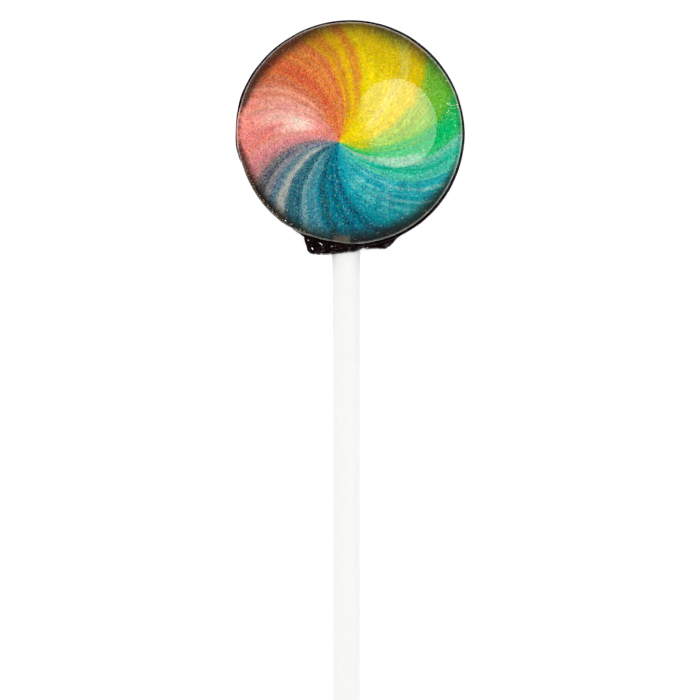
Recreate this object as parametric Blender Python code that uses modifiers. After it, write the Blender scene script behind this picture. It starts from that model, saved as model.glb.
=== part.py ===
"""Swirl lollipop: a clear candy dome over a rainbow print, a black candy back and a paper stick.

It lies on its back with the swirl up (+Z) and the stick along -Y. The origin is the centre of
the flat back, on the surface that the lollipop lies on. Lengths are in metres.
"""
import math

import bmesh
import bpy
from mathutils import Matrix

# The stick, a standard one that the other sizes are scaled from
STICK_DIAMETER = 0.0044
STICK_LENGTH = 0.152
STICK_IN_CANDY = 0.0181
STICK_OFFSET_X = -0.0007
STICK_AXIS_HEIGHT = 0.0030
STICK_END_BEVEL = 0.00025

# The candy head
DISC_RADIUS = 0.0178
HEAD_THICKNESS = 0.0120
BACK_THICKNESS = 0.0058
BACK_TOP_ROUND = 0.0005
BACK_BOTTOM_ROUND = 0.0014
DOME_RADIUS = 0.0174
DOME_CURVATURE = 0.040
DOME_SHOULDER = 0.0012

# The printed sheet under the dome
SHEET_RADIUS = 0.0168
SHEET_THICKNESS = 0.0003
SWIRL_CENTRE = (-0.00185, -0.0015)
SWIRL_TWIST = math.radians(2700)

# Clearances: between the layers of the head, and all round the buried end of the stick
LAYER_GAP = 0.0003
BORE_GAP = 0.0002

# Swellings and hollows of the back's rim: direction, half width and height
RIM_SWELLINGS = (
    (math.radians(78), math.radians(60), -0.00014),
    (math.radians(161), math.radians(26), 0.00032),
    (math.radians(188), math.radians(14), 0.00022),
    (math.radians(219), math.radians(27), -0.00045),
)

# Candy that ran out round the stick: its ragged outline in plan, from left to right
SKIRT_OUTLINE = (
    (-0.0070, -0.0140), (-0.0077, -0.0162), (-0.0071, -0.0173), (-0.0068, -0.0186),
    (-0.0034, -0.0191), (0.0006, -0.0187), (0.0019, -0.0181), (0.0053, -0.0182),
    (0.0070, -0.0167), (0.0080, -0.0158), (0.0070, -0.0140),
)
SKIRT_BOTTOM = 0.0007
SKIRT_TOP = 0.0044
SKIRT_ROUND = 0.0003
COLLAR_RADIUS_IN_DISC = 0.0026
COLLAR_RADIUS_AT_END = 0.0029
COLLAR_INNER_Y = -0.0150
COLLAR_OUTER_Y = -0.0187

# How finely the round forms are divided
TURN_STEPS = 96
FRONT_STEPS = 10
SHOULDER_STEPS = 6
BACK_TOP_STEPS = 3
BACK_BOTTOM_STEPS = 5
BORE_SIDES = 32
STICK_SIDES = 40
SMOOTH_UP_TO = math.radians(35)

SWIRL_COLOURS = (
    (0.00, (0.85, 0.72, 0.02)), (0.16, (0.88, 0.45, 0.05)), (0.27, (0.78, 0.16, 0.06)),
    (0.37, (0.90, 0.32, 0.28)), (0.46, (0.45, 0.20, 0.26)), (0.52, (0.30, 0.34, 0.40)),
    (0.57, (0.02, 0.12, 0.20)), (0.68, (0.00, 0.20, 0.32)), (0.78, (0.00, 0.38, 0.40)),
    (0.87, (0.20, 0.62, 0.40)), (0.92, (0.05, 0.50, 0.14)), (0.97, (0.45, 0.65, 0.05)),
)


def clear_scene():
    for thing in list(bpy.data.objects):
        bpy.data.objects.remove(thing, do_unlink=True)


def new_collection(name):
    collection = bpy.data.collections.new(name)
    bpy.context.scene.collection.children.link(collection)
    return collection


def principled(name, colour, roughness, transmission=0.0):
    """A Principled material with one plain colour."""
    material = bpy.data.materials.new(name)
    material.use_nodes = True
    shader = material.node_tree.nodes["Principled BSDF"]
    shader.inputs["Base Color"].default_value = (*colour, 1.0)
    shader.inputs["Roughness"].default_value = roughness
    shader.inputs["Metallic"].default_value = 0.0
    shader.inputs["Transmission Weight"].default_value = transmission
    material.diffuse_color = (*colour, 1.0)
    return material


def math_node(nodes, links, operation, *values):
    """A math node fed by sockets or plain numbers; returns its output socket."""
    node = nodes.new("ShaderNodeMath")
    node.operation = operation
    for socket, value in zip(node.inputs, values):
        if isinstance(value, (int, float)):
            socket.default_value = value
        else:
            links.new(value, socket)
    return node.outputs[0]


def swirl_material():
    """Rainbow streaks that turn about the swirl's centre and bend with the distance from it."""
    material = principled("swirl_print", SWIRL_COLOURS[0][1], 0.4)
    nodes = material.node_tree.nodes
    links = material.node_tree.links
    place = nodes.new("ShaderNodeTexCoord").outputs["Object"]
    split = nodes.new("ShaderNodeSeparateXYZ")
    links.new(place, split.inputs[0])
    x = math_node(nodes, links, 'SUBTRACT', split.outputs["X"], SWIRL_CENTRE[0])
    y = math_node(nodes, links, 'SUBTRACT', split.outputs["Y"], SWIRL_CENTRE[1])
    angle = math_node(nodes, links, 'ARCTAN2', y, x)
    x_squared = math_node(nodes, links, 'MULTIPLY', x, x)
    y_squared = math_node(nodes, links, 'MULTIPLY', y, y)
    squares = math_node(nodes, links, 'ADD', x_squared, y_squared)
    distance = math_node(nodes, links, 'SQRT', squares)
    bend = math_node(nodes, links, 'MULTIPLY', distance, SWIRL_TWIST)
    straight = math_node(nodes, links, 'SUBTRACT', angle, bend)
    turns = math_node(nodes, links, 'DIVIDE', straight, math.tau)
    around = math_node(nodes, links, 'FRACT', turns)
    ramp = nodes.new("ShaderNodeValToRGB")
    stops = ramp.color_ramp.elements
    for place_on_ramp, colour in SWIRL_COLOURS[1:-1]:
        stops.new(place_on_ramp)
    for stop, (place_on_ramp, colour) in zip(stops, SWIRL_COLOURS):
        stop.position = place_on_ramp
        stop.color = (*colour, 1.0)
    links.new(around, ramp.inputs[0])
    links.new(ramp.outputs["Color"], nodes["Principled BSDF"].inputs["Base Color"])
    return material


def arc(centre_radius, centre_height, radius, start, end, steps):
    """Profile points (radius, height) along an arc; angles run from +Z towards +X."""
    points = []
    for step in range(steps + 1):
        angle = start + (end - start) * step / steps
        points.append((centre_radius + radius * math.sin(angle),
                       centre_height + radius * math.cos(angle)))
    return points


def turned(name, profile, collection):
    """A profile of (radius, height) points, top to bottom, turned about Z by a Screw modifier."""
    mesh = bpy.data.meshes.new(name)
    points = [(radius, 0.0, height) for radius, height in profile]
    edges = [(index, index + 1) for index in range(len(points) - 1)]
    mesh.from_pydata(points, edges, [])
    thing = bpy.data.objects.new(name, mesh)
    collection.objects.link(thing)
    screw = thing.modifiers.new("Turn", 'SCREW')
    screw.axis = 'Z'
    screw.steps = TURN_STEPS
    screw.render_steps = TURN_STEPS
    screw.use_merge_vertices = True
    screw.merge_threshold = 0.000001
    screw.use_smooth_shade = True
    return thing


def made_mesh(thing):
    """Replaces an object's modifiers or curve by the welded mesh that they give."""
    bpy.context.view_layer.update()
    evaluated = thing.evaluated_get(bpy.context.evaluated_depsgraph_get())
    mesh = bpy.data.meshes.new_from_object(evaluated)
    edit = bmesh.new()
    edit.from_mesh(mesh)
    bmesh.ops.remove_doubles(edit, verts=edit.verts, dist=0.000001)
    bmesh.ops.recalc_face_normals(edit, faces=edit.faces)
    edit.to_mesh(mesh)
    edit.free()
    solid = bpy.data.objects.new(thing.name + "_solid", mesh)
    solid.matrix_world = thing.matrix_world.copy()
    for collection in thing.users_collection:
        collection.objects.link(solid)
    bpy.data.objects.remove(thing, do_unlink=True)
    return solid


def make_cutter(thing):
    thing.hide_render = True
    thing.display_type = 'WIRE'
    return thing


def boolean(thing, other, operation):
    """An exact Boolean modifier that joins or cuts a solid with another."""
    modifier = thing.modifiers.new(operation.title(), 'BOOLEAN')
    modifier.operation = operation
    modifier.solver = 'EXACT'
    modifier.object = other
    return modifier


def round_bar(name, radius_at_top, radius_at_end, top_y, end_y, collection, sides):
    """A round bar along -Y at the stick's place, from top_y to end_y."""
    lying = Matrix.Rotation(math.radians(90), 4, 'X')
    edit = bmesh.new()
    bmesh.ops.create_cone(edit, cap_ends=True, segments=sides, radius1=radius_at_top,
                          radius2=radius_at_end, depth=top_y - end_y, matrix=lying)
    mesh = bpy.data.meshes.new(name)
    edit.to_mesh(mesh)
    edit.free()
    thing = bpy.data.objects.new(name, mesh)
    thing.location = (STICK_OFFSET_X, (top_y + end_y) / 2, STICK_AXIS_HEIGHT)
    collection.objects.link(thing)
    return thing


def smooth_with_sharp_edges(thing):
    thing.data.shade_smooth()
    thing.data.set_sharp_from_angle(angle=SMOOTH_UP_TO)


def clear_dome(collection):
    """The clear front: a shallow sphere, a round shoulder and a recess for the print behind."""
    shoulder_radius = DOME_RADIUS - DOME_SHOULDER
    sphere_height = HEAD_THICKNESS - DOME_CURVATURE
    reach = DOME_CURVATURE - DOME_SHOULDER
    shoulder_height = sphere_height + math.sqrt(reach ** 2 - shoulder_radius ** 2)
    join = math.asin(shoulder_radius / reach)
    front = arc(0.0, sphere_height, DOME_CURVATURE, 0.0, join, FRONT_STEPS)
    front[0] = (0.0, HEAD_THICKNESS)
    shoulder = arc(shoulder_radius, shoulder_height, DOME_SHOULDER, join, math.radians(90),
                   SHOULDER_STEPS)
    foot = BACK_THICKNESS + LAYER_GAP
    ceiling = foot + SHEET_THICKNESS + LAYER_GAP
    recess = SHEET_RADIUS + LAYER_GAP
    behind = [(DOME_RADIUS, foot), (recess, foot), (recess, ceiling), (0.0, ceiling)]
    dome = turned("clear_dome", front + shoulder[1:] + behind, collection)
    dome.data.materials.append(principled("clear_candy", (0.98, 0.97, 0.94), 0.03, 1.0))
    return dome


def swirl_disc(collection):
    """The round printed sheet between the dome and the back."""
    bottom = BACK_THICKNESS + LAYER_GAP
    top = bottom + SHEET_THICKNESS
    profile = [(0.0, top), (SHEET_RADIUS, top), (SHEET_RADIUS, bottom), (0.0, bottom)]
    sheet = turned("swirl_disc", profile, collection)
    sheet.data.materials.append(swirl_material())
    return sheet


def rim_swelling(angle):
    """How far the back's rim swells out or in, in one direction."""
    height = 0.0
    for direction, half_width, swelling in RIM_SWELLINGS:
        away = abs((angle - direction + math.pi) % math.tau - math.pi)
        if away < half_width:
            height += swelling * math.cos(away / half_width * math.pi / 2) ** 2
    return height


def swell_rim(mesh):
    for vertex in mesh.vertices:
        radius = math.hypot(vertex.co.x, vertex.co.y)
        if radius > DISC_RADIUS - BACK_BOTTOM_ROUND:
            factor = 1 + rim_swelling(math.atan2(vertex.co.y, vertex.co.x)) / radius
            vertex.co.x *= factor
            vertex.co.y *= factor


def skirt(collection):
    """The ragged slab of candy beside the stick, from its outline."""
    curve = bpy.data.curves.new("skirt", 'CURVE')
    curve.dimensions = '2D'
    curve.fill_mode = 'BOTH'
    curve.extrude = (SKIRT_TOP - SKIRT_BOTTOM) / 2 - SKIRT_ROUND
    curve.bevel_depth = SKIRT_ROUND
    curve.offset = -SKIRT_ROUND
    curve.bevel_resolution = 1
    spline = curve.splines.new('POLY')
    spline.points.add(len(SKIRT_OUTLINE) - 1)
    for point, (x, y) in zip(spline.points, SKIRT_OUTLINE):
        point.co = (x, y, 0.0, 1.0)
    spline.use_cyclic_u = True
    thing = bpy.data.objects.new("skirt", curve)
    thing.location.z = (SKIRT_TOP + SKIRT_BOTTOM) / 2
    collection.objects.link(thing)
    return make_cutter(made_mesh(thing))


def black_back(collection, cutters):
    """The black candy behind the print, with the skirt and collar round the stick's bore."""
    top = arc(DISC_RADIUS - BACK_TOP_ROUND, BACK_THICKNESS - BACK_TOP_ROUND, BACK_TOP_ROUND,
              0.0, math.radians(90), BACK_TOP_STEPS)
    bottom = arc(DISC_RADIUS - BACK_BOTTOM_ROUND, BACK_BOTTOM_ROUND, BACK_BOTTOM_ROUND,
                 math.radians(90), math.radians(180), BACK_BOTTOM_STEPS)
    profile = [(0.0, BACK_THICKNESS)] + top + bottom + [(0.0, 0.0)]
    back = made_mesh(turned("back", profile, collection))
    back.name = "black_back"
    swell_rim(back.data)
    collar = make_cutter(round_bar("collar", COLLAR_RADIUS_IN_DISC, COLLAR_RADIUS_AT_END,
                                   COLLAR_INNER_Y, COLLAR_OUTER_Y, cutters, BORE_SIDES))
    stick_top = STICK_IN_CANDY - DISC_RADIUS
    bore_radius = STICK_DIAMETER / 2 + BORE_GAP
    bore = make_cutter(round_bar("bore", bore_radius, bore_radius, stick_top + BORE_GAP,
                                 -2 * DISC_RADIUS, cutters, BORE_SIDES))
    boolean(back, skirt(cutters), 'UNION')
    boolean(back, collar, 'UNION')
    boolean(back, bore, 'DIFFERENCE')
    smooth_with_sharp_edges(back)
    back.data.materials.append(principled("black_candy", (0.012, 0.008, 0.009), 0.08))
    return back


def stick(collection):
    """The rolled paper stick, with its upper end buried in the back."""
    top = STICK_IN_CANDY - DISC_RADIUS
    radius = STICK_DIAMETER / 2
    bar = round_bar("stick", radius, radius, top, top - STICK_LENGTH, collection, STICK_SIDES)
    bevel = bar.modifiers.new("End rounding", 'BEVEL')
    bevel.width = STICK_END_BEVEL
    bevel.segments = 2
    bevel.limit_method = 'ANGLE'
    bevel.angle_limit = math.radians(60)
    smooth_with_sharp_edges(bar)
    bar.data.materials.append(principled("white_paper", (0.90, 0.90, 0.88), 0.55))
    return bar


def main():
    clear_scene()
    lollipop = new_collection("swirl_lollipop")
    cutters = new_collection("cutters")
    clear_dome(lollipop)
    swirl_disc(lollipop)
    black_back(lollipop, cutters)
    stick(lollipop)


main()
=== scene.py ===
"""Looks of a swirl lollipop that lies on its back: dome, rainbow print, black candy and stick."""

import math
import random
from functools import partialmethod

import bpy
from bpy.props import FloatProperty, FloatVectorProperty, IntProperty, PointerProperty
from bpy.types import Operator, Panel, PropertyGroup
from mathutils import Matrix, Vector, noise


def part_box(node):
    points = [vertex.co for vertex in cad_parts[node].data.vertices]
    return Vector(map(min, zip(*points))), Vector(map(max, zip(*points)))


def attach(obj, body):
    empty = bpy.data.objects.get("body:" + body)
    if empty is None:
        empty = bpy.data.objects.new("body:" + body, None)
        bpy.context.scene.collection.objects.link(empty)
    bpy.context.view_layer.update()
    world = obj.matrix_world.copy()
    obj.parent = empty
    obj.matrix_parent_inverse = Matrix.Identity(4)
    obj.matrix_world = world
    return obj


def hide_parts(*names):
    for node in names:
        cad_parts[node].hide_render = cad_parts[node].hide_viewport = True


bl_info = {
    "name": "Swirl lollipop",
    "version": (1, 0, 0),
    "blender": (4, 5, 0),
    "location": "View3D > Sidebar > Lollipop",
    "description": "Builds a rainbow swirl lollipop round its packed frame",
    "category": "Object",
}

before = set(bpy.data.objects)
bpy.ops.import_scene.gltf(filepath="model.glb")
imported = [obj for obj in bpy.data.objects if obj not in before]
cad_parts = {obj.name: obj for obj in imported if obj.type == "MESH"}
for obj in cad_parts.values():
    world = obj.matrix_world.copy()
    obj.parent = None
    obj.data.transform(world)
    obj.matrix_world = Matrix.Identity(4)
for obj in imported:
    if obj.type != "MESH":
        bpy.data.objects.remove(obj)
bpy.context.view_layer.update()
MM = 0.001
WHITE = (1.0, 1.0, 1.0, 1.0)

# Places that come from the frame
DOME_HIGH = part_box("clear_dome")[1]
SHEET_LOW, SHEET_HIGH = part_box("swirl_disc")
BACK_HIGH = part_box("black_back")[1]
STICK_LOW, STICK_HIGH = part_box("stick")
BACK_TOP = SHEET_LOW.z - 0.3 * MM  # the solids leave a gap there
STICK_X = (STICK_LOW.x + STICK_HIGH.x) / 2
STICK_Z = (STICK_LOW.z + STICK_HIGH.z) / 2
STICK_RADIUS = (STICK_HIGH.z - STICK_LOW.z) / 2
BEDDED = 0.03 * MM  # how deep a piece lies in the one below
ROUND_STEPS = 192  # round the dome and the sheet
RIM_STEPS = 240  # round the black back

# The photo's frame, which sets the camera
FRAME_PIXELS = 700
PIXELS_PER_METRE = 6400
DISC_CENTRE_PIXEL = (350.7, 133.0)

# How far the black rim and the clear wall reach in each direction: degrees, mm
RIM_OUTLINE = (
    (0, 17.84), (15, 17.75), (45, 17.69), (90, 17.66), (120, 17.73), (140, 17.88), (152, 18.02),
    (162, 18.12), (171, 18.03), (178, 17.99), (187, 18.06), (192, 17.9), (198, 17.5), (206, 17.3),
    (234, 17.3), (241, 17.6), (247, 17.83), (300, 17.83), (345, 17.83), (360, 17.84),
)
WALL_OUTLINE = (
    (0, 17.4), (20, 17.34), (45, 17.2), (90, 17.26), (120, 17.4), (140, 17.52), (162, 17.7),
    (178, 17.8), (188, 17.78), (196, 17.66), (232, 17.66), (242, 17.5), (250, 17.3), (262, 17.22),
    (272, 17.36), (300, 17.36), (345, 17.38), (360, 17.4),
)

# Plan of the candy that ran out round the stick, in mm: how far it reaches at each place across
SKIRT_EDGE = (
    (-7.35, -16.2), (-7.20, -17.2), (-6.92, -17.8), (-6.78, -18.5), (-6.30, -18.9), (-5.05, -19.03),
    (-3.40, -19.03), (-1.94, -18.84), (-0.44, -18.63), (0.44, -18.66), (1.31, -18.38),
    (1.85, -18.1), (2.17, -18.06), (2.73, -18.22), (3.17, -18.13), (5.42, -18.17), (6.05, -17.81),
    (6.66, -17.25), (7.16, -16.58), (8.00, -15.95),
)

# Pale chips on the skirt that glow a little, as painted glints: place, length and width in mm, turn
# in degrees
PAINTED_GLINT_CHIPS = (
    (-4.75, -17.25, 0.80, 0.11, -37), (-6.00, -18.05, 0.42, 0.13, -58),
    (-6.62, -16.75, 0.20, 0.11, 50), (-2.95, -17.70, 0.26, 0.07, 10),
    (-2.45, -17.66, 0.16, 0.07, -15), (2.60, -17.95, 0.30, 0.05, 5),
)

# Colours of the print, the candy and the paper: what each is for, red, green and blue
COLOURS = dict(
    lemon=("Widest yellow streak", 0.81, 0.585, 0.001),
    # Lemon made brighter where the window's highlight falls: painted highlight; near the middle
    # partly the print's own brighter yellow
    sunny=("Brighter field in the yellow", 0.9, 0.73, 0.001),
    golden=("Deeper yellow in the oranges", 0.8, 0.49, 0.001),
    straw=("Paler streak in the yellow", 0.87, 0.7, 0.055),
    apricot=("Orange between the yellows", 0.77, 0.3, 0.02),
    orange=("Orange streaks", 0.745, 0.19, 0.044),
    tangerine=("Lighter orange streak", 0.81, 0.255, 0.053),
    vermilion=("Red side of the orange", 0.71, 0.138, 0.05),
    brick=("Darkest line in the oranges", 0.67, 0.178, 0.082),
    peach=("Light line before the pinks", 0.8, 0.322, 0.203),
    clay=("Dark line in the pinks", 0.73, 0.222, 0.138),
    salmon=("Start of the pinks", 0.835, 0.312, 0.222),
    coral=("Widest pink streak", 0.9, 0.29, 0.245),
    rosy=("Redder side of the pink", 0.82, 0.238, 0.218),
    # The pale pink patch and its palest spot are partly print and partly a painted reflection of a
    # soft light on the dome
    blush=("Pale patch in the pink", 0.93, 0.65, 0.57),
    cream=("Palest spot in the pink", 0.98, 0.79, 0.69),
    dusty=("Greyer line in the pink", 0.785, 0.29, 0.264),
    rose=("End of the pinks", 0.758, 0.258, 0.28),
    plum=("Between pink and grey", 0.58, 0.245, 0.26),
    slate=("Dark grey streak", 0.17, 0.155, 0.176),
    dusk=("Darkest grey line", 0.085, 0.112, 0.15),
    mauve=("Greyish violet streak", 0.262, 0.252, 0.296),
    denim=("Greyish blue streak", 0.135, 0.225, 0.29),
    deep_denim=("Dark line in the denim", 0.09, 0.19, 0.258),
    sand=("Pale grey streak", 0.395, 0.44, 0.425),
    ink=("Dark blue streak", 0.026, 0.145, 0.196),
    steel=("Greyish blue streak", 0.055, 0.272, 0.352),
    pale_steel=("Light line in the steel", 0.14, 0.35, 0.4),
    petrol=("Very dark blue streak", 0.008, 0.115, 0.16),
    harbour=("Dark blue line", 0.001, 0.135, 0.205),
    ocean=("Deep blue", 0.001, 0.212, 0.312),
    teal=("Middle of the blues", 0.001, 0.318, 0.411),
    lagoon=("Brighter blue streak", 0.015, 0.416, 0.49),
    cyan=("Bright line in the blues", 0.057, 0.465, 0.49),
    haze=("Pale cloud in the blues", 0.171, 0.568, 0.547),
    sea=("Between blue and green", 0.07, 0.56, 0.425),
    pine=("Thin dark green line", 0.006, 0.475, 0.29),
    mint=("Pale green streak", 0.245, 0.585, 0.385),
    emerald=("Strong green", 0.001, 0.537, 0.144),
    leaf=("Yellowish green", 0.12, 0.545, 0.036),
    pear=("Between leaf and lime", 0.331, 0.616, 0.061),
    lime=("Between green and yellow", 0.45, 0.642, 0.053),
    olive=("Greenish side of the yellow", 0.61, 0.579, 0.002),
    bleed=("Black candy at the sheet's edge", 0.014, 0.011, 0.009),
    rim=("Line along the sheet's upper edge", 0.165, 0.13, 0.09),
    clear=("Tint of the dome", 1.0, 0.99, 0.97),
    amber=("Tint of the dome by the stick", 0.5, 0.41, 0.26),
    black=("Colour of the back", 0.004, 0.001, 0.001),
    paper=("Colour of the stick", 0.8, 0.8, 0.786),
    gold=("Colour of the specks", 1.0, 0.87, 0.48),
    glitter=("Pale dots in the print", 0.86, 0.9, 0.74),
    floor=("Colour of the floor", 0.93, 0.93, 0.93),
    shadow=("Stick behind the print", 0.15, 0.138, 0.104),
    violet=("Cast of the skirt's ridges", 0.038, 0.012, 0.016),
    soot=("Colour of the dark specks", 0.1, 0.03, 0.02),
    # Pale chips that glow: painted glints on the skirt
    chalk=("Colour of the chips", 0.9, 0.88, 0.85),
)

# The rainbow once round the swirl, in five parts as a ramp has room for 32 stops: the degrees from
# and to which a streak has its full colour, or the one place where it has, and the colour
YELLOW_STREAKS = (
    (0, 1.5, "lemon"), (4.5, 7.5, "straw"), (10.5, 38.5, "lemon"), (42, 46, "apricot"),
    (49.5, 52, "golden"), (54.5, 59, "apricot"), (60.5, "golden"), (62, "apricot"),
    (64.5, 67.5, "orange"), (70, 73, "tangerine"), (75, 76, "orange"),
)
WARM_STREAKS = (
    (76, "orange"), (78, "tangerine"), (80.5, "orange"), (83, 90.5, "vermilion"), (92, "orange"),
    (94.5, 99.5, "brick"), (102, "clay"), (104.5, 106, "peach"), (108, 110, "clay"),
    (113, "salmon"), (117, "coral"), (120, "salmon"), (123, 133, "coral"), (138, 145, "rosy"),
    (147.5, "clay"), (150, 153, "dusty"), (155.5, 158.5, "rose"), (160.5, 162, "plum"),
)
GREY_STREAKS = (
    (162, 163.5, "plum"), (167, 170, "slate"), (171.8, 173.2, "dusk"), (175.5, 178, "mauve"),
    (180, "denim"), (181.8, 184.3, "deep_denim"), (186.3, "denim"), (188.7, 192, "sand"),
    (193.8, "denim"), (195, "deep_denim"), (197, 206, "ink"), (208.5, 211, "pale_steel"),
    (213, 221, "steel"), (224.2, "ocean"), (227, 230, "petrol"),
)
BLUE_STREAKS = (
    (230, 231.5, "petrol"), (234.5, 237, "ocean"), (240, 243.5, "harbour"), (246, 249, "ocean"),
    (250.5, 252.5, "harbour"), (255, "ocean"), (257.5, 262.5, "teal"), (265, 272, "lagoon"),
    (274.5, "cyan"), (277, 278.5, "lagoon"), (280, "haze"), (281.5, "lagoon"), (284, "teal"),
    (286, 288.6, "lagoon"), (290, "haze"), (291.4, 293.5, "lagoon"), (296, 297, "sea"),
)
GREEN_STREAKS = (
    (297, 301, "sea"), (302.8, 305.5, "pine"), (307.2, "sea"), (309.5, 315.5, "mint"),
    (318.5, 323, "emerald"), (325.5, "leaf"), (327.5, "emerald"), (330.5, "leaf"),
    (334, 338, "pear"), (341, 348.5, "lime"), (352, "olive"), (356.5, 360, "lemon"),
)
STREAKS = (YELLOW_STREAKS, WARM_STREAKS, GREY_STREAKS, BLUE_STREAKS, GREEN_STREAKS)

# Soft fields over the streaks, among them painted highlights and a painted reflection: colour,
# degrees (from, to, soft), mm (from, to, soft), strength
FIELDS = (
    ("golden", 42, 57, 4, -2.0, 3.9, 1.0, 1.0),
    # Brighter yellow near the middle: partly print, partly painted highlight
    ("sunny", -14, 39, 4, -2.0, 5.0, 1.2, 0.45),
    ("orange", 86, 110, 4, -2.0, 4.8, 1.6, 0.75),
    ("rosy", 112, 136, 6, -2.0, 3.6, 1.2, 0.6),
    ("rose", 134, 163, 5, -2.0, 3.2, 1.2, 0.7),
    ("clay", 110, 148, 6, -2.0, 2.8, 1.0, 0.7),
    ("plum", 148, 174, 5, -2.0, 2.6, 1.0, 0.6),
    ("ink", 177, 226, 5, -2.0, 2.4, 1.2, 0.75),
    # Pale pink patch with its palest spot: partly print, partly painted reflection
    ("blush", 126, 147, 6, 4.6, 8.8, 1.8, 0.9),
    ("blush", 124, 134, 4, 8.2, 12.4, 1.8, 0.6),
    ("blush", 110, 125, 3, 5.0, 12.5, 2.0, 0.2),
    ("cream", 129, 139, 5, 5.6, 7.8, 1.4, 0.55),
    ("mauve", 166, 174.5, 1.5, -2.0, 7.6, 2.6, 0.75),
    ("sand", 182, 187, 1.5, -2.0, 6.4, 2.0, 0.4),
    ("lemon", 38, 46, 2, 3.0, 7.0, 1.5, 0.6),
    # Painted highlight: the yellow made brighter under the window's reflection
    ("sunny", -7, 36, 5, 4.2, 12.3, 1.4, 0.75),
    ("sunny", -9, 8, 4, 11.0, 13.6, 1.0, 0.8),
    ("sunny", -13, -2, 3, 3.6, 10.0, 1.5, 0.65),
    ("glitter", 6, 13.5, 2.5, 4.8, 12.2, 1.2, 0.13),
    ("leaf", 5, 21, 4, 17.0, 21.0, 0.8, 0.3),
    ("teal", 256, 300, 5, -2.0, 5.0, 1.2, 0.5),
    ("sea", 282, 308, 5, -2.0, 4.6, 1.4, 0.5),
    ("sea", 305, 314, 2, 12.8, 20.0, 1.0, 0.6),
    ("leaf", 321, 334, 3, 1.5, 6.0, 1.4, 0.5),
    ("olive", 330, 352, 5, 1.5, 4.6, 1.0, 0.85),
    ("emerald", 312.5, 327, 1.4, 12.8, 20.0, 0.8, 0.9),
    ("leaf", 328.5, 350, 3, 14.6, 20.0, 1.0, 0.8),
)

# How the sheet darkens at its edge: direction, distance and half width in mm, shade before it
PRINT_EDGE = (
    (0, 17.0, 1.1, 0.06), (10, 16.85, 1.1, 0.12), (20, 16.7, 1.3, 0.12), (30, 16.4, 1.6, 0.15),
    (40, 15.9, 1.7, 0.20), (50, 15.3, 1.8, 0.20), (60, 15.2, 1.8, 0.20), (70, 15.1, 1.8, 0.24),
    (80, 15.3, 1.7, 0.24), (90, 15.7, 1.5, 0.32), (100, 15.6, 1.6, 0.36), (110, 15.3, 1.6, 0.32),
    (120, 15.1, 1.4, 0.20), (130, 15.25, 1.0, 0.10), (140, 15.5, 0.9, 0.08), (150, 15.8, 0.8, 0.12),
    (158, 16.1, 0.7, 0.05), (165, 16.5, 0.4, 0.0), (172, 16.95, 0.2, 0.0), (183, 16.95, 0.2, 0.0),
    (190, 16.5, 0.5, 0.04), (200, 16.1, 0.8, 0.12), (210, 16.0, 0.9, 0.10), (220, 15.7, 1.0, 0.04),
    (230, 15.7, 1.0, 0.0), (240, 15.6, 1.5, 0.0), (250, 15.4, 1.4, 0.05), (260, 15.2, 1.4, 0.16),
    (270, 15.1, 1.4, 0.16), (280, 14.8, 1.6, 0.14), (290, 14.9, 1.2, 0.20), (300, 15.1, 1.0, 0.28),
    (310, 15.2, 1.0, 0.22), (320, 15.3, 1.2, 0.12), (330, 15.9, 1.0, 0.03), (340, 16.3, 0.8, 0.0),
    (350, 16.75, 0.7, 0.0), (360, 17.0, 1.1, 0.06),
)


def swatch(name, description, *value):
    """A colour setting."""
    return FloatVectorProperty(name=name.replace("_", " ").capitalize(), description=description,
                               default=value, subtype='COLOR', size=3, min=0.0, max=1.0)


class LollipopSizes(PropertyGroup):
    """Sizes that shape the lollipop's head and its print."""

    dome_curvature: FloatProperty(
        name="Dome curvature", description="Radius of the clear front's sphere",
        default=40 * MM, min=20 * MM, unit='LENGTH')
    dome_shoulder: FloatProperty(
        name="Dome shoulder", description="Radius of the round edge between front and wall",
        default=0.9 * MM, min=0.3 * MM, unit='LENGTH')
    sheet_thickness: FloatProperty(
        name="Sheet thickness", description="Thickness of the printed sheet",
        default=0.15 * MM, min=0.05 * MM, unit='LENGTH')
    swirl_centre: FloatVectorProperty(
        name="Swirl centre", description="Where the streaks meet, from the disc's centre",
        default=(-1.76 * MM, -1.43 * MM), size=2, subtype='TRANSLATION', unit='LENGTH')
    swirl_twist: FloatProperty(
        name="Swirl twist", description="Turn of a streak for each millimetre",
        default=math.radians(2.83), subtype='ANGLE')
    speck_count: IntProperty(
        name="Gold specks", description="Gold specks in the clear candy",
        default=1500, min=0, max=5000)
    dark_speck_count: IntProperty(
        name="Dark specks", description="Dark specks in the clear candy",
        default=70, min=0, max=300)


class LollipopColours(PropertyGroup):
    """Colours of the print, the candy and the paper."""

    __annotations__ = {name: swatch(name, *setting) for name, setting in COLOURS.items()}


def sizes():
    return bpy.context.scene.lollipop_sizes


def colour(name):
    """One of the colour settings, as a shader wants it."""
    return (*getattr(bpy.context.scene.lollipop_colours, name), 1.0)


def grey(level):
    return (level, level, level, 1.0)


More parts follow.
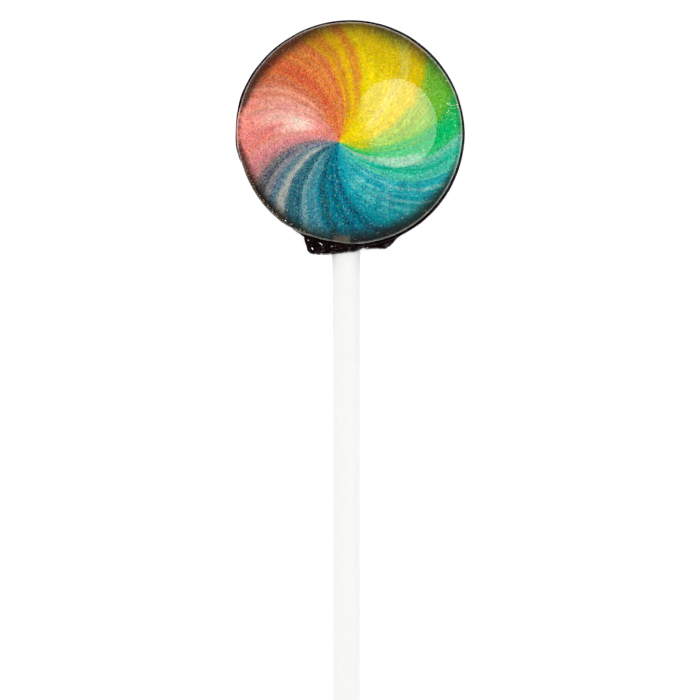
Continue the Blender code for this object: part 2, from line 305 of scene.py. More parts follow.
class Tree:
    """Adds nodes to a node tree and links them; a value is a socket or a plain number."""

    def __init__(self, tree):
        self.tree = tree

    def node(self, kind, **settings):
        node = self.tree.nodes.new(kind)
        for name, value in settings.items():
            setattr(node, name, value)
        return node

    def feed(self, socket, value):
        if isinstance(value, bpy.types.NodeSocket):
            self.tree.links.new(value, socket)
        else:
            socket.default_value = value

    def fill(self, node, *values):
        """Feeds a node's inputs in their order; returns its first output."""
        for socket, value in zip(node.inputs, values):
            self.feed(socket, value)
        return node.outputs[0]

    def set(self, node, **values):
        """Feeds a node's inputs by their names, with _ for a space; returns its outputs."""
        for name, value in values.items():
            self.feed(node.inputs[name.replace("_", " ")], value)
        return node.outputs

    def math(self, operation, *values):
        return self.fill(self.node("ShaderNodeMath", operation=operation), *values)

    plus = partialmethod(math, 'ADD')
    minus = partialmethod(math, 'SUBTRACT')
    times = partialmethod(math, 'MULTIPLY')
    times_plus = partialmethod(math, 'MULTIPLY_ADD')

    def length(self, x, y):
        return self.math('SQRT', self.times_plus(x, x, self.times(y, y)))

    def mix(self, factor, first, second, blend='MIX'):
        node = self.node("ShaderNodeMix", data_type='RGBA', blend_type=blend)
        for place, value in ((0, factor), (6, first), (7, second)):
            self.feed(node.inputs[place], value)
        return node.outputs[2]

    def shaded(self, tint, shade):
        """A tint that is darker or lighter by a factor."""
        return self.mix(1.0, tint, self.combine(shade, shade, shade), 'MULTIPLY')

    def noise(self, vector, scale, detail=2.0, roughness=0.5):
        return self.set(self.node("ShaderNodeTexNoise"), Vector=vector, Scale=scale,
                        Detail=detail, Roughness=roughness)[0]

    def wobble(self, vector, scale, detail=2.0, roughness=0.5):
        """Noise that varies about 0."""
        return self.minus(self.noise(vector, scale, detail, roughness), 0.5)

    def between(self, value, low, high, to_low=0.0, to_high=1.0):
        """Smoothly from to_low at low to to_high at high."""
        node = self.node("ShaderNodeMapRange", interpolation_type='SMOOTHSTEP')
        return self.fill(node, value, low, high, to_low, to_high)

    def band(self, value, low, high, soft):
        """1 between low and high, 0 outside, with soft edges."""
        rise = self.between(value, low - soft, low + soft)
        fall = self.between(value, high - soft, high + soft, 1.0, 0.0)
        return self.times(rise, fall)

    def ramp(self, factor, stops):
        node = self.node("ShaderNodeValToRGB")
        elements = node.color_ramp.elements
        for place, tint in stops[1:-1]:
            elements.new(place)
        for element, (place, tint) in zip(elements, stops):
            element.position = place
            element.color = tint
        return self.fill(node, factor)

    def curve(self, factor, points):
        """A smooth curve through (x, y) points."""
        node = self.node("ShaderNodeFloatCurve")
        line = node.mapping.curves[0]
        for point in points[1:-1]:
            line.points.new(*point)
        for knot, point in zip(line.points, points):
            knot.location = point
        node.mapping.update()
        return self.set(node, Value=factor)[0]

    def separate(self, vector):
        node = self.node("ShaderNodeSeparateXYZ")
        self.fill(node, vector)
        return node.outputs[:]

    def combine(self, x, y, z):
        return self.fill(self.node("ShaderNodeCombineXYZ"), x, y, z)

    def place(self, moved=(0.0, 0.0, 0.0)):
        """Object coordinates in millimetres, after moving the pattern's centre."""
        coordinates = self.node("ShaderNodeTexCoord").outputs["Object"]
        return self.set(self.node("ShaderNodeMapping"), Vector=coordinates, Scale=(1 / MM,) * 3,
                        Location=[-value / MM for value in moved])[0]

    def bump(self, height, distance, strength):
        return self.set(self.node("ShaderNodeBump"), Strength=strength, Distance=distance,
                        Height=height)[0]

    def group(self, name, outputs, build, **values):
        """The outputs of a node group that all trees share; it is built at its first use."""
        group = bpy.data.node_groups.get(name)
        if group is None:
            group = bpy.data.node_groups.new(name, 'ShaderNodeTree')
            add = group.interface.new_socket
            for label in values:
                kind = 'NodeSocketVector' if label == "Vector" else 'NodeSocketFloat'
                add(label, in_out='INPUT', socket_type=kind)
            for label in outputs:
                add(label, in_out='OUTPUT', socket_type='NodeSocketFloat')
            tree = Tree(group)
            build(tree, tree.node("NodeGroupInput").outputs, tree.node("NodeGroupOutput").inputs)
        return self.set(self.node("ShaderNodeGroup", node_tree=group), **values)

    def grain(self, place, scale, amount):
        """Fine mottling: a factor near 1 that varies over the surface by an amount."""
        return self.group("fine_grain", ["Factor"], build_grain,
                          Vector=place, Scale=scale, Amount=amount)["Factor"]

    def ripple(self, shader, place, scale, smudges, depth, strength):
        """Gives a shader the smudges and the shallow ripples of poured candy."""
        given = self.group("candy_ripple", ["Height", "Smudge"], build_ripple,
                           Vector=place, Scale=scale)
        self.set(shader, Roughness=self.between(given["Smudge"], 0.0, 1.0, *smudges),
                 Normal=self.bump(given["Height"], depth, strength))


def new_material(name, **plain):
    """A Principled material with plain values set on its own sockets; returns its parts."""
    material = bpy.data.materials.new(name)
    material.use_nodes = True
    tree = Tree(material.node_tree)
    shader = material.node_tree.nodes["Principled BSDF"]
    tree.set(shader, **plain)
    return material, tree, shader


def build_grain(tree, given, result):
    spread = tree.wobble(given["Vector"], given["Scale"], 3.0, 0.7)
    tree.feed(result["Factor"], tree.times_plus(tree.times(spread, 2.0), given["Amount"], 1.0))


def build_ripple(tree, given, result):
    tree.feed(result["Height"], tree.noise(given["Vector"], given["Scale"], 2.0, 0.4))
    smudge = tree.noise(given["Vector"], tree.times(given["Scale"], 0.45), 4.0, 0.6)
    tree.feed(result["Smudge"], tree.between(smudge, 0.45, 0.75))


def swirl_print_material():
    """Rainbow streaks that turn about the swirl's centre, with print grain and a dark edge."""
    material, tree, shader = new_material("swirl_print", Roughness=0.55, Specular_IOR_Level=0.0)
    here = tree.place((*sizes().swirl_centre, 0.0))
    x, y = tree.separate(here)[:2]
    distance = tree.length(x, y)
    bend = tree.times(distance, sizes().swirl_twist)
    turned = tree.times_plus(tree.wobble(here, 0.22), 0.08,
                             tree.minus(tree.math('ARCTAN2', y, x), bend))

    # Streaks run along the arms: noise that changes quickly across them and slowly along them
    across_x, across_y = tree.math('COSINE', turned), tree.math('SINE', turned)
    broad, fine, hair = (
        tree.wobble(tree.combine(tree.times(across_x, width), tree.times(across_y, width),
                                 tree.times(distance, length)), 1.0, 2.0, 0.55)
        for width, length in ((6.0, 0.10), (22.0, 0.16), (60.0, 0.35)))
    blots = tree.wobble(here, 2.4, 3.0, 0.65)

    around = tree.math('DIVIDE', turned, math.tau)
    for wobble, amount in ((broad, 0.012), (fine, 0.011), (hair, 0.007), (blots, 0.012)):
        around = tree.times_plus(wobble, amount, around)
    lean = tree.times(tree.between(distance, 13.5, 7.5, 0.0, 5 / 360),
                      tree.times_plus(across_x, 0.5, 0.5))
    around = tree.math('FRACT', tree.minus(around, lean))
    hue = streak_colours(tree, around)
    ragged = tree.times_plus(fine, 2.5, tree.times_plus(blots, 3.5, distance))
    hue = soft_fields(tree, hue, around, ragged)

    # Dark patches and a pale cloud in the blues
    blues = tree.band(around, 240 / 360, 296 / 360, 0.014)
    clouds = tree.noise(tree.combine(x, y, 4.0), 0.42, 4.0, 0.6)
    deep = tree.times(blues, tree.between(clouds, 0.48, 0.33, 0.0, 0.6))
    hue = tree.mix(deep, hue, colour("ocean"))
    hazy = tree.times(tree.band(around, 266 / 360, 291 / 360, 0.016),
                      tree.band(distance, 6.5, 12.3, 1.6))
    wisps = tree.times_plus(fine, 0.5, tree.times_plus(blots, 0.35, clouds))
    hazy = tree.times(hazy, tree.between(wisps, 0.42, 0.66, 0.0, 0.85))
    hue = tree.mix(hazy, hue, colour("haze"))

    # Light and dark along the streaks, and mottling
    along = tree.plus(broad, tree.plus(fine, hair))
    shade = tree.times(tree.grain(here, 1.6, 0.26), tree.times_plus(along, 0.38, 1.0))
    speckle = tree.wobble(here, 7.5, 2.0, 0.8)
    grainy = print_grain(tree, here, tree.shaded(hue, shade), speckle)

    x, y = tree.separate(tree.place())[:2]
    tinted = dark_edge(tree, grainy, blots, x, y)
    tree.set(shader, Base_Color=stick_shadow(tree, tinted, blots, x, y),
             Normal=tree.bump(speckle, 0.02 * MM, 0.3))
    return material


def streak_colours(tree, around):
    """The rainbow once round the swirl: ramps that take over from one another."""
    hue = None
    for part in STREAKS:
        stops = [(place, colour(name)) for *places, name in part for place in places]
        first, span = stops[0][0], stops[-1][0] - stops[0][0]
        tints = tree.ramp(tree.times_plus(around, 360 / span, -first / span),
                          [((place - first) / span, tint) for place, tint in stops])
        if hue is None:
            hue = tints
        else:
            hue = tree.mix(tree.math('GREATER_THAN', around, first / 360), hue, tints)
    return hue


def soft_fields(tree, hue, around, ragged):
    """Lays the soft fields of colour over the streaks, painted highlights among them."""
    wrapped = tree.math('FRACT', tree.plus(around, 0.5))
    for name, start, stop, soft, near, far, blur, strength in FIELDS:
        turn, shift = (wrapped, 0.5) if start < 0 else (around, 0.0)
        aside = tree.band(turn, shift + start / 360, shift + stop / 360, soft / 360)
        field = tree.times(aside, tree.band(ragged, near, far, blur))
        hue = tree.mix(tree.times(field, strength), hue, colour(name))
    return hue


def print_grain(tree, here, tint, speckle):
    """Coarse print grain in each of red, green and blue, then pale and dark dust."""
    dots = tree.set(tree.node("ShaderNodeTexVoronoi"), Vector=here, Scale=7.5)
    channels = tree.separate(dots["Color"])
    common = tree.times_plus(channels[1], 0.25, tree.times_plus(speckle, 0.5, -0.125))
    common = tree.plus(common, -0.10)
    own = tree.combine(*(tree.times_plus(channel, 0.20, common) for channel in channels))
    share = tree.mix(1.0, tint, tree.mix(1.0, tint, grey(0.12), 'ADD'), 'DIVIDE')
    grainy = tree.mix(1.0, tint, tree.mix(1.0, share, own, 'MULTIPLY'), 'ADD')

    dust = tree.set(tree.node("ShaderNodeTexVoronoi", voronoi_dimensions='2D'),
                    Vector=here, Scale=2.2)
    dot = tree.between(dust["Distance"], 0.17, 0.08)
    chosen, other = tree.separate(dust["Color"])[:2]
    pale = tree.times(dot, tree.math('LESS_THAN', chosen, 0.3))
    dark = tree.times(dot, tree.math('GREATER_THAN', other, 0.93))
    grainy = tree.mix(tree.times(pale, 0.30), grainy, colour("glitter"))
    return tree.mix(tree.times(dark, 0.6), grainy, colour("black"))


def dark_edge(tree, tint, blots, x, y):
    """Darkens the sheet towards its edge by amounts that change with direction, and lays the black
    candy's colour at the edge, with fine lines towards the middle.
    """
    reach = tree.length(x, y)
    toward = tree.math('ARCTAN2', y, x)
    direction = tree.math('FRACT', tree.math('DIVIDE', toward, math.tau))

    def measure(column, low, high):
        """One column of the edge's table, as a curve round the sheet."""
        points = [(row[0] / 360, (row[column] - low) / (high - low)) for row in PRINT_EDGE]
        return tree.times_plus(tree.curve(direction, points), high - low, low)

    edge, fade, shade = measure(1, 14.0, 18.0), measure(2, 0.0, 2.0), measure(3, 0.0, 1.0)
    outside = tree.minus(reach, edge)
    # Darker for some millimetres before the edge, by the table's amount
    early = tree.times(shade, tree.between(outside, -6.0, -0.8))
    lines = 45.0
    spoke = tree.combine(tree.times(tree.math('COSINE', toward), lines),
                         tree.times(tree.math('SINE', toward), lines), tree.times(reach, 0.25))
    hatch = tree.times(tree.wobble(spoke, 1.0, 2.0, 0.6), fade)
    past = tree.plus(outside, tree.times_plus(hatch, 0.9, tree.times(blots, 0.5)))
    dark = tree.between(tree.math('DIVIDE', past, fade), -1.0, 1.0)
    tint = tree.mix(early, tint, tree.mix(1.0, tint, grey(0.2), 'MULTIPLY'))
    left_over = tree.mix(dark, WHITE, (0.12, 0.10, 0.10, 1.0))
    tint = tree.mix(1.0, tint, left_over, 'MULTIPLY')
    tint = tree.mix(1.0, tint, tree.mix(dark, grey(0.0), colour("bleed")), 'ADD')

    # A thin lighter line inside the upper rim
    outermost = tree.between(tree.times_plus(hatch, 0.8, reach), 16.55, 16.85, 0.0, 0.75)
    upper = tree.between(tree.times_plus(x, 0.6, y), 0.0, 8.0)
    return tree.mix(tree.times(outermost, upper), tint, colour("rim"))


def stick_shadow(tree, tint, blots, x, y):
    """The stick's paper shows through at the bottom, left of the middle."""
    across = tree.times(tree.between(tree.times_plus(blots, 0.8, x), -3.1, -2.1),
                        tree.between(x, -0.2, 0.0, 1.0, 0.0))
    down = tree.band(tree.times_plus(blots, 1.2, y), -16.9, -15.8, 0.5)
    return tree.mix(tree.times(tree.times(across, down), 0.85), tint, colour("shadow"))


def clear_candy_material():
    """Clear hard candy with faint ripples and smudges, tinted along the rim by the stick."""
    material, tree, shader = new_material(
        "clear_candy", Metallic=0.0, IOR=1.48, Transmission_Weight=1.0)
    here = tree.place()
    x, y = tree.separate(here)[:2]
    rim = tree.times(tree.between(tree.length(x, y), 16.4, 17.1), tree.between(y, -4.0, -9.0))
    tree.set(shader, Base_Color=tree.mix(rim, colour("clear"), colour("amber")))
    tree.ripple(shader, here, 0.35, smudges=(0.01, 0.05), depth=0.02 * MM, strength=0.25)
    return material


def black_candy_material():
    """Glossy black candy with a brownish violet cast on its ridges."""
    material, tree, shader = new_material("black_candy", Specular_IOR_Level=0.15)
    here = tree.place()
    x, y, z = tree.separate(here)
    strands = tree.combine(tree.times(x, 0.3), tree.times_plus(x, -0.12, y), z)
    cast = tree.between(tree.grain(strands, 2.6, 0.5), 1.0, 1.25, 0.0, 0.85)
    tree.set(shader, Base_Color=tree.mix(cast, colour("black"), colour("violet")))
    tree.ripple(shader, here, 0.9, smudges=(0.07, 0.2), depth=0.15 * MM, strength=0.35)
    return material


def white_paper_material():
    """Matt rolled paper with fine fibres along the stick."""
    material, tree, shader = new_material("white_paper", Specular_IOR_Level=0.3)
    here = tree.place()
    x, y, z = tree.separate(here)
    fibres = tree.grain(tree.combine(x, tree.times(y, 0.12), z), 9.0, 0.035)
    cloud = tree.grain(here, 0.5, 0.02)
    tree.set(shader, Base_Color=tree.shaded(colour("paper"), tree.times(fibres, cloud)),
             Roughness=tree.times(fibres, 0.6), Normal=tree.bump(fibres, 0.05 * MM, 0.4))
    return material


def speck_material(name, tint, glow, metallic=0.0):
    """Small flakes whose brightness differs from one to the next; a glow, where given, is painted
    sparkle.
    """
    material, tree, shader = new_material(name, Metallic=metallic, Roughness=0.35,
                                          Emission_Strength=glow)
    shaded = tree.shaded(colour(tint), tree.grain(tree.place(), 0.8, 0.5))
    tree.set(shader, Base_Color=shaded, Emission_Color=shaded)
    return material


def floor_material():
    """A plain pale floor that glows a little, as a light table does."""
    return new_material("pale_floor", Base_Color=colour("floor"), Roughness=0.9,
                        Specular_IOR_Level=0.0, Emission_Color=WHITE, Emission_Strength=0.45)[0]


def start_from(add, **placed):
    """Deselects all, adds a primitive and returns it in object mode."""
    bpy.ops.object.select_all(action='DESELECT')
    add(**placed)
    return bpy.context.object


def select_only(piece):
    bpy.ops.object.select_all(action='DESELECT')
    piece.select_set(True)
    bpy.context.view_layer.objects.active = piece


def edit(piece, *steps):
    """Runs edit mode steps on the whole of a piece."""
    select_only(piece)
    bpy.ops.object.mode_set(mode='EDIT')
    bpy.ops.mesh.select_all(action='SELECT')
    for step in steps:
        step()
    bpy.ops.object.mode_set(mode='OBJECT')


def tidy_mesh():
    """Merges doubles and turns faces outwards, in edit mode."""
    bpy.ops.mesh.select_all(action='SELECT')
    bpy.ops.mesh.remove_doubles(threshold=0.001 * MM)
    bpy.ops.mesh.normals_make_consistent(inside=False)


def apply_modifiers(piece):
    select_only(piece)
    for modifier in list(piece.modifiers):
        bpy.ops.object.modifier_apply(modifier=modifier.name)


def new_piece(name, points, faces):
    """A loose object made of points and faces."""
    mesh = bpy.data.meshes.new(name)
    mesh.from_pydata(points, [], faces)
    piece = bpy.data.objects.new(name, mesh)
    bpy.context.scene.collection.objects.link(piece)
    return piece


def finish_piece(piece, name, material, smooth_angle, node=None):
    """Names and shades a piece, gives it its material and lets it ride on the lollipop."""
    piece.name = name
    piece.data.name = name
    piece.data.materials.clear()
    piece.data.materials.append(material)
    select_only(piece)
    bpy.ops.object.transform_apply(location=True, rotation=True, scale=True)
    bpy.ops.object.shade_smooth_by_angle(angle=math.radians(smooth_angle))
    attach(piece, "root")
    if node:
        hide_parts(node)


def turned_piece(profile, steps):
    """Extrudes one vertex along (radius, height) points and spins the line about Z."""
    piece = start_from(bpy.ops.mesh.primitive_plane_add, size=MM)

    def draw_profile():
        bpy.ops.mesh.merge(type='CENTER')
        bpy.ops.transform.translate(value=(profile[0][0], 0.0, profile[0][1]))
        for (radius, height), (next_radius, next_height) in zip(profile, profile[1:]):
            move = {"value": (next_radius - radius, 0.0, next_height - height)}
            bpy.ops.mesh.extrude_vertices_move(TRANSFORM_OT_translate=move)

    def spin_profile():
        bpy.ops.mesh.select_all(action='SELECT')
        bpy.ops.mesh.spin(steps=steps, angle=math.tau, center=(0, 0, 0), axis=(0, 0, 1))

    edit(piece, draw_profile, spin_profile, tidy_mesh)
    return piece


def arc(centre_radius, centre_height, radius, start, end, steps):
    """Profile points along an arc; angles in degrees run from +Z towards +X."""
    points = []
    for step in range(steps + 1):
        angle = math.radians(start + (end - start) * step / steps)
        points.append((centre_radius + radius * math.sin(angle),
                       centre_height + radius * math.cos(angle)))
    return points


def read_table(rows, place, smooth=False):
    """The value at a place, between the (place, value) rows of a table."""
    for (before, value), (after, next_value) in zip(rows, rows[1:]):
        if place <= after:
            part = max(0.0, (place - before) / (after - before))
            if smooth:
                part = part * part * (3 - 2 * part)
            return value + (next_value - value) * part
    return rows[-1][1]


def reach_of(outline, angle):
    """How far an outline reaches in one direction, in metres."""
    return read_table(outline, math.degrees(angle) % 360, smooth=True) * MM


def fit_outline(piece, outline, radius, from_radius):
    """Moves the rim of a turned piece from its round shape to an outline."""
    for vertex in piece.data.vertices:
        x, y = vertex.co.xy
        distance = math.hypot(x, y)
        if distance > from_radius:
            angle = math.atan2(y, x)
            rough = 0.02 * MM * noise.noise(Vector((math.cos(angle), math.sin(angle), 0)) * 9)
            part = min(1.0, (distance - from_radius) / (radius - from_radius))
            moved = (reach_of(outline, angle) + rough - radius) * part * part
            vertex.co.x += moved * math.cos(angle)
            vertex.co.y += moved * math.sin(angle)


def dome_height(radius):
    """Height of the clear front at a distance from the axis."""
    curvature = sizes().dome_curvature
    return DOME_HIGH.z - curvature + math.sqrt(curvature ** 2 - radius ** 2)


def shoulder_base():
    """Height at which the round shoulder of the clear front starts."""
    curvature, shoulder = sizes().dome_curvature, sizes().dome_shoulder
    drop = math.sqrt((curvature - shoulder) ** 2 - (DOME_HIGH.x - shoulder) ** 2)
    return DOME_HIGH.z - curvature + drop


class LOLLIPOP_OT_dome(Operator):
    """Clear domed candy with a round shoulder, bedded on the print and the back"""

    bl_idname = "lollipop.dome"
    bl_label = "Clear dome"

    def execute(self, context):
        curvature = sizes().dome_curvature
        shoulder = sizes().dome_shoulder
        wall = DOME_HIGH.x
        shoulder_radius = wall - shoulder
        shoulder_height = shoulder_base()
        join = math.degrees(math.asin(shoulder_radius / (curvature - shoulder)))
        foot = BACK_TOP - BEDDED
        front = arc(0.0, DOME_HIGH.z - curvature, curvature, 0.0, join, 26)
        front[0] = (0.0, DOME_HIGH.z)
        round_edge = arc(shoulder_radius, shoulder_height, shoulder, join, 90, 18)
        wall_points = [(wall, foot + 0.1 * MM), (wall - 0.05 * MM, foot), (0.0, foot)]
        piece = turned_piece(front + round_edge[1:] + wall_points, ROUND_STEPS)
        fit_outline(piece, WALL_OUTLINE, wall, 0.86 * wall)
        for vertex in piece.data.vertices:
            if vertex.co.z > shoulder_height:
                vertex.co.z += 0.012 * MM * noise.noise(vertex.co / (6 * MM))
        finish_piece(piece, "clear_candy_dome", clear_candy_material(), 50,
                     "clear_dome")
        return {'FINISHED'}


class LOLLIPOP_OT_sheet(Operator):
    """Printed sheet with a slightly uneven edge, in contact with the clear candy"""

    bl_idname = "lollipop.sheet"
    bl_label = "Swirl sheet"

    def execute(self, context):
        radius = SHEET_HIGH.x + 0.3 * MM
        low = BACK_TOP - BEDDED
        high = BACK_TOP + sizes().sheet_thickness
        rings = 12
        top = [(radius * ring / rings, high) for ring in range(rings + 1)]
        edge = [(radius + 0.02 * MM, (low + high) / 2), (radius, low), (0.0, low)]
        piece = turned_piece(top + edge, ROUND_STEPS)
        for vertex in piece.data.vertices:
            x, y, z = vertex.co
            distance = math.hypot(x, y)
            if distance > 0.9 * radius:
                direction = Vector((x, y, 0)).normalized()
                scallop = 0.05 * MM * noise.noise(direction * 14)
                vertex.co.x += direction.x * scallop
                vertex.co.y += direction.y * scallop
            if z > BACK_TOP:
                vertex.co.z += 0.02 * MM * noise.noise(Vector((x, y, 0)) / (3 * MM))
        finish_piece(piece, "swirl_sheet", swirl_print_material(), 40, "swirl_disc")
        return {'FINISHED'}


def skirt_top(x, y):
    """Height of the skirt's front in mm: a slab, a hump over the stick, and ridges."""
    stick_x = STICK_X / MM
    hump_radius = STICK_RADIUS / MM + 0.62
    aside = abs(x - stick_x)
    hump = 0.0
    if aside < hump_radius:
        hump = STICK_Z / MM + math.sqrt(hump_radius ** 2 - aside ** 2)
    slab = 4.5 + 0.5 * noise.noise(Vector((x * 0.6, y * 0.6, 3.0)))
    if x < stick_x - 2:
        slab += 0.6
    ridges = noise.ridged_multi_fractal(Vector((x * 0.42 + y * 0.55, y * 0.9 - x * 0.25, 7.0)),
                                        0.8, 2.1, 4, 1.0, 2.0)
    return max(slab, hump) + (0.34 if x < stick_x + 2 else 0.12) * (ridges - 1.2)


def skirt_piece():
    """The ragged candy round the stick: a grid bent to its outline, given a thickness."""
    columns, rows = 110, 26
    left, right = SKIRT_EDGE[0][0], SKIRT_EDGE[-1][0]
    inner = -13.5
    piece = start_from(bpy.ops.mesh.primitive_grid_add, x_subdivisions=columns,
                       y_subdivisions=rows, size=1.0)

    def thicken():
        bpy.ops.mesh.extrude_region_move(TRANSFORM_OT_translate={"value": (0, 0, -1)})

    edit(piece, thicken)
    for vertex in piece.data.vertices:
        across, down, level = vertex.co
        x = left + (across + 0.5) * (right - left)
        outer = read_table(SKIRT_EDGE, x) + 0.10 * noise.noise(Vector((x * 2.3, 0.0, 5.0)))
        part = 0.5 - down
        y = inner + (outer - inner) * part
        if level < -0.5:
            height = 0.55 + 0.25 * noise.noise(Vector((x * 0.7, y * 0.7, 9.0)))
            edge_lift = max(0.0, part - 0.9) * 6
            vertex.co = Vector((x, y * (1 - 0.012 * part), height + edge_lift)) * MM
        else:
            rim_drop = max(0.0, part - 0.955) ** 2 * 250
            vertex.co = Vector((x, y, skirt_top(x, y) - rim_drop)) * MM
    edit(piece, tidy_mesh)
    return piece


class LOLLIPOP_OT_back(Operator):
    """Black candy back with its uneven rim and the ragged skirt round the stick"""

    bl_idname = "lollipop.back"
    bl_label = "Black back"

    def execute(self, context):
        radius = BACK_HIGH.y
        top_round, bottom_round = 0.10 * MM, 1.4 * MM
        top = arc(radius - top_round, BACK_TOP - top_round, top_round, 0, 90, 6)
        bottom = arc(radius - bottom_round, bottom_round, bottom_round, 90, 180, 10)
        inside = [(0.0, BACK_TOP), (0.9 * radius, BACK_TOP)]
        piece = turned_piece(inside + top + bottom + [(0.0, 0.0)], RIM_STEPS)
        fit_outline(piece, RIM_OUTLINE, radius, 0.88 * radius)
        for vertex in piece.data.vertices:
            if 0.2 * MM < vertex.co.z < 5.0 * MM:
                angle = math.atan2(vertex.co.y, vertex.co.x)
                spot = Vector((math.cos(angle) * 6, math.sin(angle) * 6, vertex.co.z / (3 * MM)))
                vertex.co *= 1 + 0.004 * noise.noise(spot)
        skirt = skirt_piece()
        depth = 40 * MM
        bore = start_from(bpy.ops.mesh.primitive_cylinder_add, vertices=48,
                          radius=STICK_RADIUS - 0.02 * MM, depth=depth,
                          location=(STICK_X, STICK_HIGH.y - depth / 2, STICK_Z),
                          rotation=(math.radians(90), 0, 0))
        for tool, operation in ((skirt, 'UNION'), (bore, 'DIFFERENCE')):
            joint = piece.modifiers.new(operation.title(), 'BOOLEAN')
            joint.object = tool
            joint.operation = operation
            joint.solver = 'EXACT'
            apply_modifiers(piece)
            bpy.data.objects.remove(tool, do_unlink=True)
        finish_piece(piece, "black_candy_back", black_candy_material(), 35,
                     "black_back")
        return {'FINISHED'}


class LOLLIPOP_OT_stick(Operator):
    """Rolled paper stick with its outer seam and the rolled layers at its end"""

    bl_idname = "lollipop.stick"
    bl_label = "Paper stick"

    def execute(self, context):
        length = STICK_HIGH.y - STICK_LOW.y
        seam = math.radians(-25)
        sheet, layer_pitch, layer_depth = 0.05 * MM, 0.22 * MM, 0.04 * MM
        piece = start_from(bpy.ops.mesh.primitive_cylinder_add, vertices=96, radius=STICK_RADIUS,
                           depth=length, end_fill_type='NGON')
        edit(piece, round_ends, roll_layers, tidy_mesh)
        for vertex in piece.data.vertices:
            x, y, z = vertex.co
            radius = math.hypot(x, y)
            turn = ((math.atan2(y, x) - seam) % math.tau) / math.tau
            if radius > 0.8 * STICK_RADIUS:
                factor = 1 + sheet * (0.6 - turn) / radius
                vertex.co.x *= factor
                vertex.co.y *= factor
            elif abs(z) > 0.499 * length:
                layer = 0.5 - 0.5 * math.cos(math.tau * radius / layer_pitch)
                vertex.co.z -= math.copysign(layer_depth * layer, z)
        middle = Vector((STICK_X, (STICK_LOW.y + STICK_HIGH.y) / 2, STICK_Z))
        piece.data.transform(Matrix.Translation(middle)
                             @ Matrix.Rotation(math.radians(90), 4, 'X'))
        finish_piece(piece, "paper_stick", white_paper_material(), 40, "stick")
        return {'FINISHED'}


def select_ends():
    """Selects the two flat ends of an upright cylinder, in edit mode."""
    bpy.ops.mesh.select_all(action='DESELECT')
    bpy.ops.object.mode_set(mode='OBJECT')
    for face in bpy.context.object.data.polygons:
        face.select = abs(face.normal.z) > 0.9
    bpy.ops.object.mode_set(mode='EDIT')


def round_ends():
    bpy.ops.mesh.select_mode(type='FACE')
    select_ends()
    bpy.ops.mesh.bevel(offset=0.2 * MM, segments=3, affect='EDGES')


def roll_layers():
    """Rings in the two flat ends, one for each layer of the rolled paper."""
    select_ends()
    for ring in range(8):
        for width in (0.12, 0.05, 0.05):
            bpy.ops.mesh.inset(thickness=width * MM, depth=0.0)


def scattered_specks(name, material, count, smallest, largest, seed):
    """Flat flakes at random places in the clear candy, joined in one mesh; sizes in mm."""
    draw = random.Random(seed)
    flake = start_from(bpy.ops.mesh.primitive_ico_sphere_add, subdivisions=1, radius=1.0)
    corners = [vertex.co.copy() for vertex in flake.data.vertices]
    sides = [tuple(face.vertices) for face in flake.data.polygons]
    bpy.data.objects.remove(flake, do_unlink=True)
    points, faces = [], []
    lowest = BACK_TOP + sizes().sheet_thickness + 0.15 * MM
    widest, shoulder_start = 16.6 * MM, 15.5 * MM
    for number in range(count):
        distance = widest * math.sqrt(draw.random())
        direction = draw.uniform(0, math.tau)
        in_cluster = number % 50 == 1  # in the green at the right
        if number % 14 == 0:  # along the lower left rim
            direction = math.radians(draw.uniform(197, 247))
            inward = draw.uniform(0.08, 0.55) * MM
            distance = reach_of(WALL_OUTLINE, direction) - inward
            height = shoulder_base() + math.sqrt(inward * (2 * sizes().dome_shoulder - inward))
        elif in_cluster:
            direction = math.radians(draw.gauss(11.5, 3.0))
            distance = draw.gauss(15.6, 0.5) * MM
            height = lowest
        elif distance > shoulder_start:
            height = lowest + draw.uniform(0, 0.5) * MM
        else:
            height = draw.uniform(lowest, dome_height(distance) - 0.5 * MM)
        size = (smallest + (largest - smallest) * draw.random() ** 2) * MM
        if in_cluster:
            size *= 2
        tilt = Matrix.Rotation(draw.uniform(-0.9, 0.9), 3, 'X')
        spin = Matrix.Rotation(draw.uniform(0, math.tau), 3, 'Z')
        flat = Matrix.Diagonal((size, size * draw.uniform(0.6, 1.0), size * 0.35))
        centre = Vector((distance * math.cos(direction), distance * math.sin(direction), height))
        base = len(points)
        points += [centre + spin @ tilt @ flat @ corner for corner in corners]
        faces += [tuple(base + corner for corner in side) for side in sides]
    finish_piece(new_piece(name, points, faces), name, material, 30)


def laid_painted_glints(name, material):
    """Pale chips that lie on the black candy and glow a little as painted glints, joined in one
    mesh.
    """
    points, faces = [], []
    for x, y, length, width, turn in PAINTED_GLINT_CHIPS:
        spin = Matrix.Rotation(math.radians(turn), 3, 'Z')
        base = len(points)
        for end, side in ((-1, -1), (1, -1), (1, 1), (-1, 1)):
            spot = Vector((x, y, 0)) + spin @ Vector((end * length / 2, side * width / 2, 0))
            points.append(Vector((spot.x, spot.y, skirt_top(spot.x, spot.y) + 0.06)) * MM)
        faces.append(range(base, base + 4))
    finish_piece(new_piece(name, points, faces), name, material, 30)


class LOLLIPOP_OT_specks(Operator):
    """Gold and dark specks that float in the clear candy"""

    bl_idname = "lollipop.specks"
    bl_label = "Specks"

    def execute(self, context):
        # The gold flakes glow a little: painted sparkle
        gold = speck_material("gold_flakes", "gold", glow=0.2, metallic=0.4)
        scattered_specks("gold_specks", gold, sizes().speck_count,
                         smallest=0.018, largest=0.06, seed=11)
        dark = speck_material("dark_flakes", "soot", glow=0.0)
        scattered_specks("dark_specks", dark, sizes().dark_speck_count,
                         smallest=0.04, largest=0.09, seed=23)
        # The chips glow a little: painted glints
        laid_painted_glints("painted_glint_flecks", speck_material("glint_chip_glow", "chalk", glow=0.3))
        return {'FINISHED'}


